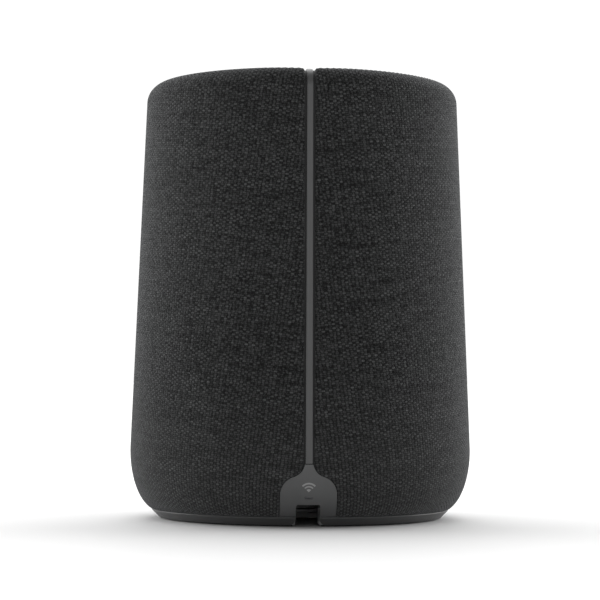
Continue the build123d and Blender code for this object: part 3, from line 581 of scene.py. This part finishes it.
def metal(name, colour, rough=0.3, stretch=(1, 1, 14), dark=0.75):
    """Plated or machined metal with a direction to its fine lines and a few dull spots."""
    s = Shader(name, Metallic=1.0)
    lines = s.noise(1.0, detail=3.0, vector=s.scaled(*[1500.0 / k for k in stretch]))
    spots = s.noise(2.5 * MM, detail=4.0)
    dull = tuple(c * dark for c in colour)
    base = s.mix(s.range(spots, 0.4, 0.7, 0, 1), (*colour, 1), (*dull, 1))
    base = s.mix(s.range(lines, 0.35, 0.65, 0, 0.25), base, (*dull, 1))
    rough = s.vary(rough, lines, 0.25)
    return s.finish(Base_Color=base, Roughness=rough, Normal=s.bump(lines, 0.01 * MM, 0.6))


def circuit_board(name):
    """Solder mask over copper: traces at right angles, vias and a faint glass weave."""
    s = Shader(name, Specular_IOR_Level=0.5)
    bricks = {"Scale": 260.0, "Mortar Size": 0.035, "Mortar Smooth": 0.2, "Bias": 0.0}
    bricks |= {"Brick Width": 0.7, "Row Height": 0.31}
    traces = s.node("TexBrick", {"Vector": s.where(), **bricks}, out="Fac")
    upright = s.node("Mapping", {"Vector": s.where(), "Rotation": (math.pi / 2, 0, 0)})
    traces_up = s.node("TexBrick", {"Vector": upright, **bricks}, out="Fac")
    vias = s.node("TexVoronoi", {"Vector": s.where(), "Scale": 420.0})
    lines = s.math("MAXIMUM", traces, traces_up)
    mask = s.mix(lines, (0.006, 0.045, 0.02, 1), (0.02, 0.13, 0.06, 1))
    colour = s.mix(s.range(vias, 0.09, 0.12, 1, 0), mask, (0.5, 0.42, 0.25, 1))
    rough = s.range(s.noise(4 * MM, detail=3), 0.3, 0.7, 0.3, 0.5)
    return s.finish(Base_Color=colour, Roughness=rough, Normal=s.bump(lines, 0.03 * MM, 0.7))


def woven(name, dark, light, pitch):
    """Fine stiffened cloth with crossed threads."""
    s = Shader(name, Specular_IOR_Level=0.2, Sheen_Weight=0.1)
    wave = {"Vector": s.where(), "Scale": 1 / pitch, "Distortion": 0.6}
    thread = s.math("MULTIPLY", *(s.node("TexWave", wave, out="Fac", bands_direction=axis) for axis in "XZ"))
    colour = s.mix(s.range(thread, 0.1, 0.7, 0, 1), (*dark, 1), (*light, 1))
    rough = s.range(s.noise(2 * MM), 0.3, 0.7, 0.6, 0.85)
    return s.finish(Base_Color=colour, Roughness=rough, Normal=s.bump(thread, 0.05 * MM, 0.8))


def cone_paper(name):
    """Pulp cone with long fibres and a thin damping coat."""
    s = Shader(name, Specular_IOR_Level=0.35)
    fibres = s.noise(1.0, detail=5.0, rough=0.7, vector=s.scaled(500, 2500, 900))
    blotch = s.noise(5 * MM, detail=4.0)
    colour = s.mix(s.range(fibres, 0.35, 0.7, 0, 1), grey(0.018), grey(0.05))
    rough = s.range(blotch, 0.3, 0.7, 0.5, 0.75)
    return s.finish(Base_Color=colour, Roughness=rough, Normal=s.bump(fibres, 0.06 * MM, 0.8))


def winding(name):
    """Enamelled copper turns, side by side along the coil's axis."""
    s = Shader(name, Metallic=0.85)
    turns = s.node("TexWave", {"Vector": s.where(), "Scale": 1100.0}, out="Fac", bands_direction="Y")
    patch = s.noise(1.5 * MM, detail=3.0)
    colour = s.mix(turns, (0.22, 0.07, 0.03, 1), (0.75, 0.33, 0.16, 1))
    rough = s.range(patch, 0.3, 0.7, 0.22, 0.4)
    return s.finish(Base_Color=colour, Roughness=rough, Normal=s.bump(turns, 0.08 * MM, 0.9))


def speckled(name, dark, light, size, rough):
    """Sintered or wrapped stuff: two tones in fine specks."""
    s = Shader(name, Specular_IOR_Level=0.4)
    specks, cloud = s.noise(size * MM, detail=3.0, rough=0.7), s.noise(6 * MM, detail=3.0)
    colour = s.mix(s.range(specks, 0.4, 0.65, 0, 1), (*dark, 1), (*light, 1))
    rough = s.vary(rough, cloud, 0.2)
    return s.finish(Base_Color=colour, Roughness=rough, Normal=s.bump(specks, 0.03 * MM, 0.6))


def light_guide(name):
    """Milky clear plastic that lights up from below when the speaker is awake."""
    s = Shader(name, Transmission_Weight=0.35, IOR=1.49)
    haze = s.noise(0.8 * MM, detail=3.0)
    colour = s.mix(haze, (0.07, 0.07, 0.075, 1), (0.14, 0.14, 0.15, 1))
    rough = s.range(haze, 0.3, 0.7, 0.25, 0.45)
    return s.finish(Base_Color=colour, Roughness=rough, Normal=s.bump(haze, 0.02 * MM, 0.5))


def ink(name, tone):
    """Screen-printed ink with soft, slightly broken cover."""
    s = Shader(name, Specular_IOR_Level=0.4)
    cover = s.noise(0.25 * MM, detail=3.0)
    colour = s.mix(s.range(cover, 0.3, 0.6, 0, 1), grey(tone * 0.8), grey(tone))
    rough = s.range(cover, 0.3, 0.7, 0.5, 0.7)
    return s.finish(Base_Color=colour, Roughness=rough, Normal=s.bump(cover, 0.008 * MM, 0.5))


def finishes():
    """One material for each of the record's slots."""
    return {
        "shell_plastic": plastic("shell_plastic", 0.005, rough=0.7, grain=0.2),
        "spine_plastic": plastic("spine_plastic", 0.056, rough=0.46, wear_and_highlight=1.2),
        "panel_plastic": plastic("panel_plastic", 0.070, rough=0.45, wear_and_highlight=1.25),
        "base_plastic": plastic("base_plastic", 0.042, rough=0.42, wear_and_highlight=2.0),
        "top_plastic": plastic("top_plastic", 0.018, rough=0.58, grain=0.18, gloss=0.3),
        "key_plastic": plastic("key_plastic", 0.030, rough=0.5, grain=0.1, wear_and_highlight=1.5, gloss=0.3),
        "cabinet_plastic": plastic("cabinet_plastic", 0.014, rough=0.5, grain=0.3),
        "black_gloss": plastic("black_gloss", 0.008, rough=0.3, grain=0.3, relief=0.004),
        "chip_black": plastic("chip_black", 0.012, rough=0.6, grain=0.12),
        "lead_insulation": plastic("lead_insulation", 0.02, rough=0.35, grain=0.4),
        "flex_white": plastic("flex_white", 0.55, rough=0.5, wear_and_highlight=1.0),
        "foot_rubber": rubber("foot_rubber", 0.012),
        "surround_rubber": rubber("surround_rubber", 0.015),
        "foam": foam("foam", 0.02),
        "screw_steel": metal("screw_steel", (0.16, 0.16, 0.165), rough=0.35),
        "contact_metal": metal("contact_metal", (0.78, 0.66, 0.42), rough=0.25),
        "shield_tin": metal("shield_tin", (0.62, 0.62, 0.6), rough=0.32, stretch=(12, 1, 1)),
        "switch_metal": metal("switch_metal", (0.6, 0.6, 0.6), rough=0.3),
        "plated_steel": metal("plated_steel", (0.55, 0.56, 0.52), rough=0.35, stretch=(1, 10, 1)),
        "aluminium": metal("aluminium", (0.72, 0.73, 0.74), rough=0.35, stretch=(1, 1, 20)),
        "basket_paint": speckled("basket_paint", (0.01, 0.01, 0.01), (0.025, 0.025, 0.026), 0.4, 0.5),
        "ferrite": speckled("ferrite", (0.03, 0.03, 0.033), (0.09, 0.09, 0.095), 0.5, 0.6),
        "transformer_tape": speckled("transformer_tape", (0.45, 0.3, 0.04), (0.62, 0.45, 0.09), 1.5, 0.35),
        "capacitor_sleeve": speckled("capacitor_sleeve", (0.012, 0.012, 0.03), (0.03, 0.03, 0.06), 2.0, 0.3),
        "board_green": circuit_board("board_green"),
        "cone_paper": cone_paper("cone_paper"),
        "spider_cloth": woven("spider_cloth", (0.22, 0.12, 0.03), (0.5, 0.33, 0.12), 0.5 * MM),
        "dome_silk": woven("dome_silk", (0.008, 0.008, 0.01), (0.03, 0.03, 0.034), 0.3 * MM),
        "copper": winding("copper"),
        "light_guide": light_guide("light_guide"),
    }


def dress_nodes():
    """Gives each CAD node the finish of its slot, and the bottom plate a paler one of its own, as painted light
    in the cord notch.
    """
    made = finishes()
    for part in frame["record"]["subparts"]:
        node, material = NODES[part["node"]], made.get(part["material_slot"])
        if material:
            node.data.materials.clear()
            node.data.materials.append(material)
            node.data.polygons.foreach_set("material_index", [0] * len(node.data.polygons))
    # painted light: the bottom plate's paler tone lightens the cord notch
    NODES["bottom_plate"].data.materials[0] = plastic("plate_plastic_painted_light", PLATE_PAINTED_LIGHT_TONE, rough=0.6, wear_and_highlight=1.1)


# ================================================================ parts that flex with the drivers
def flexing(node, driver, inner, outer, height):
    """Replaces a ring between a moving driver and its frame: each point follows the cone by its radius."""
    source = NODES[node]
    mesh = source.data.copy()
    piece = bpy.data.objects.new(f"{node}_flexing", mesh)
    bpy.context.scene.collection.objects.link(piece)
    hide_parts(node)
    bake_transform(piece, "root", driver, start=(0, 0, 0), end=(0, 0, 0.1))
    co = np.array([v.co for v in mesh.vertices])
    radius = np.hypot(co[:, 0], co[:, 2] - height)
    share = np.clip((outer - radius) / (outer - inner), 0, 1)
    follow = (share * share * (3 - 2 * share)).astype(np.float32)
    mesh.attributes["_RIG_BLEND"].data.foreach_set("value", follow)


def flex_rings():
    """The surrounds and the spider, each glued down over a land at both edges."""
    lands = {"woofer_surround": 1.6 * MM, "woofer_spider": 0.6 * MM, "tweeter_surround": 0.4 * MM}
    for node, land in lands.items():
        driver = node.split("_")[0] + "_moving"
        low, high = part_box(node)
        outer = (high.x - low.x) / 2
        co = np.array([v.co for v in NODES[node].data.vertices])
        height = (low.z + high.z) / 2
        inner = float(np.hypot(co[:, 0], co[:, 2] - height).min())
        flexing(node, driver, inner + land, outer - land, height)


# ================================================================ studio
def area_light(name, place, target, size, power):
    """A rectangular lamp that faces its target."""
    light = bpy.data.lights.new(name, "AREA")
    light.shape, light.size, light.size_y, light.energy = "RECTANGLE", *size, power
    lamp = bpy.data.objects.new(name, light)
    lamp.location = place
    lamp.rotation_euler = (Vector(target) - Vector(place)).to_track_quat("-Z", "Y").to_euler()
    bpy.context.scene.collection.objects.link(lamp)


def studio():
    """Pale floor with a painted shadow round the speaker, under a sky that is brightest above the far side,
    with a softbox out to each side.
    """
    scene = bpy.context.scene
    scene.view_settings.view_transform = "Standard"
    world = bpy.data.worlds.new("studio")
    world.use_nodes = True
    tree = world.node_tree
    sky = WorldNodes(tree)
    fade_from, fade_to, full = BAND
    up = sky.smooth(sky.along((0, 0, 1)), fade_to, full)
    back = sky.smooth(sky.along(SKY_AXIS), 0.3, 0.9)
    dome = sky.math("MULTIPLY_ADD", back, SKY_HIGH - SKY_LOW, SKY_LOW)
    low = sky.math("SUBTRACT", 1.0, sky.smooth(sky.along((0, 0, 1)), fade_from, fade_to))
    near_low = sky.math("MULTIPLY", low, sky.smooth(sky.along((0, 1, 0)), 0.2, 0.9))
    rim = sky.math("MULTIPLY_ADD", near_low, HORIZON[1] - HORIZON[0], HORIZON[0])
    level = sky.math("MULTIPLY_ADD", up, sky.math("SUBTRACT", dome, rim), rim)
    background = tree.nodes["Background"]
    background.inputs[0].default_value = (1, 1, 1, 1)
    tree.links.new(level, background.inputs[1])
    scene.world = world
    bpy.ops.mesh.primitive_plane_add(size=60)
    floor = bpy.context.object
    floor.name = "floor"
    s = Shader("floor", Roughness=0.7, Specular_IOR_Level=0.1)
    # painted shadow: the floor is darker round the speaker and fades to its plain tone further out
    away = s.node("VectorMath", {0: s.where()}, out="Value", operation="LENGTH")
    share = s.math("MULTIPLY_ADD", s.noise(0.4), 0.03, s.range(away, *PAINTED_SHADOW_FADE, 0.0, 1.0), clamp=True)
    floor.data.materials.append(s.finish(Base_Color=s.mix(share, *(grey(tone) for tone in PAINTED_SHADOW_FLOOR_TONES))))
    middle = (0, 0, 0.09)
    x, y, z = SOFTBOX_AT
    area_light("left_softbox", (x, y, z), middle, SOFTBOX_SIZE, SOFTBOX)
    area_light("right_softbox", (-x, y, z), middle, SOFTBOX_SIZE, SOFTBOX)


class WorldNodes:
    """Arithmetic on the direction that a ray of the sky comes from."""

    def __init__(self, tree):
        self.tree = tree
        self.direction = tree.nodes.new("ShaderNodeTexCoord").outputs["Generated"]

    def math(self, operation, *values):
        node = self.tree.nodes.new("ShaderNodeMath")
        node.operation = operation
        for socket, value in zip(node.inputs, values):
            if isinstance(value, bpy.types.NodeSocket):
                self.tree.links.new(value, socket)
            else:
                socket.default_value = value
        return node.outputs[0]

    def along(self, axis):
        node = self.tree.nodes.new("ShaderNodeVectorMath")
        node.operation = "DOT_PRODUCT"
        self.tree.links.new(self.direction, node.inputs[0])
        node.inputs[1].default_value = axis
        return node.outputs["Value"]

    def smooth(self, value, low, high):
        node = self.tree.nodes.new("ShaderNodeMapRange")
        node.interpolation_type = "SMOOTHSTEP"
        self.tree.links.new(value, node.inputs["Value"])
        node.inputs["From Min"].default_value, node.inputs["From Max"].default_value = low, high
        return node.outputs[0]


def camera():
    """Behind the speaker, a little above the table, and slightly to one side of the spine."""
    data = bpy.data.cameras.new("camera")
    data.lens, data.sensor_width, data.shift_x = LENS, 36.0, SHIFT_X
    data.clip_start, data.clip_end = CLIP
    made = bpy.data.objects.new("camera", data)
    away = Vector((math.sin(CAMERA_ROUND), math.cos(CAMERA_ROUND), 0))
    forward = (-away * math.cos(CAMERA_PITCH) + Vector((0, 0, math.sin(CAMERA_PITCH)))).normalized()
    aim = forward.to_track_quat("-Z", "Y").to_matrix().to_4x4()
    place = Matrix.Translation(away * CAMERA_AWAY + Vector((0, 0, CAMERA_UP)))
    made.matrix_world = place @ aim @ Matrix.Rotation(CAMERA_ROLL, 4, "Z")
    bpy.context.scene.collection.objects.link(made)
    bpy.context.scene.camera = made


# ================================================================ build
dress_nodes()
cloth_sleeve()
flex_rings()
print_ink = ink("print_ink", INK_TONE)
wireless_mark(print_ink)
key_marks(print_ink)
studio()
camera()
